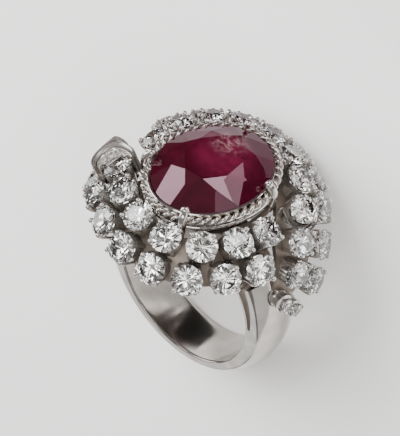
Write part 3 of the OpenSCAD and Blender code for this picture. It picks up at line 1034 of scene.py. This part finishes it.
# The cut stone's place and size against its CAD node's girdle.
RUBY_LIFT = 0.12
RUBY_SHIFT = (-0.03, 0.06)
RUBY_FIT = (0.995, 0.985)


def cut_off(shape, point, normal):
    """Grinds one flat facet: takes off what lies beyond a plane."""
    cut = bmesh.ops.bisect_plane(shape, geom=shape.verts[:] + shape.edges[:] + shape.faces[:],
                                 dist=1e-6, plane_co=point, plane_no=normal, clear_outer=True)
    edges = [e for e in cut["geom_cut"] if isinstance(e, bmesh.types.BMEdge)]
    if len(edges) > 2:
        bmesh.ops.contextual_create(shape, geom=edges)


def facet_through(shape, a, b, c):
    """Grinds the facet through three points that faces away from the stone's middle."""
    normal = (b - a).cross(c - a).normalized()
    cut_off(shape, a, normal if a.dot(normal) > 0 else -normal)


def round_point(a, r, z):
    """A point at an angle round the stone, a distance from its axis and a height."""
    return Vector((r * cos(a), r * sin(a), z))


def brilliant_shape(sides, table, star, crown, girdle, pavilion, lower, turn, culet=0.02):
    """A stone of radius 1 in brilliant cut, from its heights and the radii of its facets' points."""
    shape = bmesh.new()
    top, under = girdle / 2, -girdle / 2
    bmesh.ops.create_cone(shape, cap_ends=True, segments=sides, radius1=1, radius2=1,
                          depth=2 * max(crown + girdle, pavilion + girdle) + 1)
    cut_off(shape, Vector((0, 0, top + crown)), Vector((0, 0, 1)))
    cut_off(shape, Vector((0, 0, under - pavilion)), Vector((0, 0, -1)))
    star_z = top + crown * (1 - star * cos(pi / 8)) / (1 - table)
    lower_z = under - pavilion * (1 - lower * cos(pi / 8))
    for k in range(8):
        a = turn + k * pi / 4
        b, c = a + pi / 8, a + pi / 4
        corner, girdle_point = round_point(a, table, top + crown), round_point(a, 1, top)
        star_point, next_corner = round_point(b, star, star_z), round_point(c, table, top + crown)
        across = Vector((-sin(a), cos(a), 0))
        facet_through(shape, corner, girdle_point, corner + across)
        facet_through(shape, corner, star_point, next_corner)
        between, beyond = round_point(b, 1, top), round_point(c, 1, top)
        facet_through(shape, star_point, girdle_point, between)
        facet_through(shape, star_point, between, beyond)
        low_point = round_point(b, lower, lower_z)
        low_girdle, low_between = round_point(a, 1, under), round_point(b, 1, under)
        facet_through(shape, low_girdle, round_point(a, culet, under - pavilion),
                      low_girdle + across)
        facet_through(shape, low_point, low_girdle, low_between)
        facet_through(shape, low_point, low_between, round_point(c, 1, under))
    return shape


def faceted(shape, name, material):
    """Makes a mesh of a cut stone, with flat facets."""
    mesh = finished(shape, name, material)
    mesh.polygons.foreach_set("use_smooth", [False] * len(mesh.polygons))
    return mesh


shape = brilliant_shape(RUBY_SIDES, RUBY_TABLE, RUBY_STAR, RUBY_CROWN, RUBY_GIRDLE, RUBY_PAVILION,
                        RUBY_LOWER, RUBY_TURN)
bmesh.ops.transform(shape, matrix=Matrix.Translation((*RUBY_SHIFT, ruby_girdle_z + RUBY_LIFT))
                    @ Matrix.Diagonal((ruby_half_w * RUBY_FIT[0], ruby_half_l * RUBY_FIT[1], 1, 1)),
                    verts=shape.verts)
# Round the first spot a brighter raspberry zone is painted light inside the stone.
RUBY_PAINTED_GLOW_AT = (0.6, 1.0, 17.2)
RUBY_VEIL_AT = (-0.4, 2.8, 17.2)
deep_red = (0.026, 0.0005, 0.004)
bright_red = (0.045, 0.001, 0.009)
raspberry = (0.11, 0.006, 0.027)
silk_pink = (0.25, 0.13, 0.145)
ruby_red = new_material("Silky ruby", Transmission_Weight=0.4, Roughness=0.02, IOR=1.77,
                        Specular_Tint=(1, 0.64, 0.78))
tree = ruby_red.node_tree
place = tree.nodes.new("ShaderNodeTexCoord").outputs["Object"]


def ruby_zone(middle, near, far):
    """A mask that is 1 up to a distance from an upright place in the ruby and fades to 0."""
    apart = tree.nodes.new("ShaderNodeVectorMath")
    apart.operation = "DISTANCE"
    feed(apart.inputs[0], place)
    feed(apart.inputs[1], laid @ Vector(middle))
    return ranged(tree, apart.outputs["Value"], smooth=True, From_Min=near * MM, From_Max=far * MM,
                  To_Min=1, To_Max=0)


def ruby_cloud(size, stretch, from_value, to_value):
    """A mask of streaky clouds of that size in millimetres."""
    pull = new_node(tree, "ShaderNodeMapping", Vector=place, Rotation=(0.4, 0.9, 0.3),
                    Scale=(1 / (size * MM), stretch / (size * MM), 1 / (size * MM)))
    cloud = new_node(tree, "ShaderNodeTexNoise", Vector=pull.outputs["Vector"], Scale=1, Detail=5,
                     Distortion=0.8)
    return ranged(tree, cloud.outputs["Fac"], From_Min=from_value, From_Max=to_value)


# Painted light: a brighter raspberry cloud near the table's middle.
glow = shader_math(tree, "MULTIPLY", ruby_zone(RUBY_PAINTED_GLOW_AT, near=1.6, far=4.2),
                   ruby_cloud(size=1.6, stretch=2.0, from_value=0.2, to_value=0.6))
veil = shader_math(tree, "MULTIPLY", ruby_zone(RUBY_VEIL_AT, near=0.6, far=2.6),
                   ruby_cloud(size=0.8, stretch=3.0, from_value=0.42, to_value=0.7))
body = blend(tree, deep_red, bright_red,
             ruby_cloud(size=2.5, stretch=1.0, from_value=0.35, to_value=0.65))
body = blend(tree, blend(tree, body, raspberry, glow), silk_pink, veil)
with_values(tree.nodes["Principled BSDF"], Base_Color=body)
add_piece("ruby_stone", faceted(shape, "ruby_stone", ruby_red), ["ruby"])

# Diamonds. Forty-one round brilliants of near white colour with 57 facets each, set by hand in
# their collets, so that each is turned a little differently.
DIAMOND_SIDES = 32
DIAMOND_TABLE = 0.56
DIAMOND_STAR = 0.77
DIAMOND_CROWN = 0.30
DIAMOND_GIRDLE = 0.06
DIAMOND_PAVILION = 0.84
DIAMOND_LOWER = 0.22
TINTS_A_METRE = 300
HAND_SEED = 7
shape = brilliant_shape(DIAMOND_SIDES, DIAMOND_TABLE, DIAMOND_STAR, DIAMOND_CROWN, DIAMOND_GIRDLE,
                        DIAMOND_PAVILION, DIAMOND_LOWER, turn=0.0)
bmesh.ops.scale(shape, vec=Vector((1, 1, 1)) * COLLET_FOR / 2, verts=shape.verts)
cool_white = (0.93, 0.95, 0.98)
warm_white = (0.98, 0.94, 0.86)
diamond_white = new_material("Diamond", Transmission_Weight=1, Roughness=0.0, IOR=2.42)
tree = diamond_white.node_tree
place = tree.nodes.new("ShaderNodeTexCoord").outputs["Object"]
tints = new_node(tree, "ShaderNodeTexNoise", Vector=place, Scale=TINTS_A_METRE)
with_values(tree.nodes["Principled BSDF"],
            Base_Color=blend(tree, cool_white, warm_white, tints.outputs["Fac"]))
brilliant_mesh = faceted(shape, "brilliant", diamond_white)
hand = np.random.default_rng(HAND_SEED)
for name, seats in rows.items():
    spins = hand.uniform(0, pi / 4, len(seats))
    stones = set_row(f"{name}_diamonds", brilliant_mesh, seats, spins, diamond_white)
    add_piece(f"{name}_diamonds", stones, ROWS[name])
